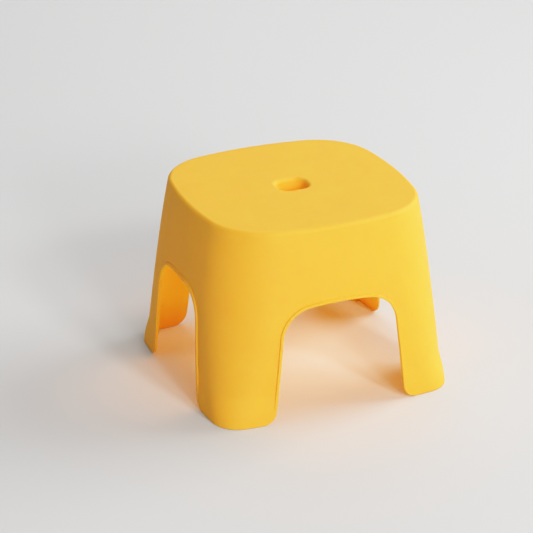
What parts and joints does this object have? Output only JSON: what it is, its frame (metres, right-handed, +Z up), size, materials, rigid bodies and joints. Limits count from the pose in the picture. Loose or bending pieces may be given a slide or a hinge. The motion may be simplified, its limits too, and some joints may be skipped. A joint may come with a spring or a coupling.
{
  "type": "plastic stool",
  "caption": "Low moulded plastic stool with a softly squared flat seat, a finger hole, drafted skirt, arched openings between flared legs and set-in anti-slip foot pads.",
  "frame": {"origin": "on the floor, under the middle of the seat", "axes": "+Z up, +X to the right along the wider side, -Y towards the front, where the wide arch faces"},
  "size_m": [0.2616, 0.2522, 0.2],
  "materials": {
    "shell_plastic": "satin moulded polypropylene, warm yellow",
    "pad_rubber": "matt thermoplastic rubber, darker yellow"
  },
  "bodies": {
    "root": {"stool_shell": "shell_plastic", "front_left_foot_pad": "pad_rubber", "front_right_foot_pad": "pad_rubber", "rear_left_foot_pad": "pad_rubber", "rear_right_foot_pad": "pad_rubber"}
  },
  "joints": []
}
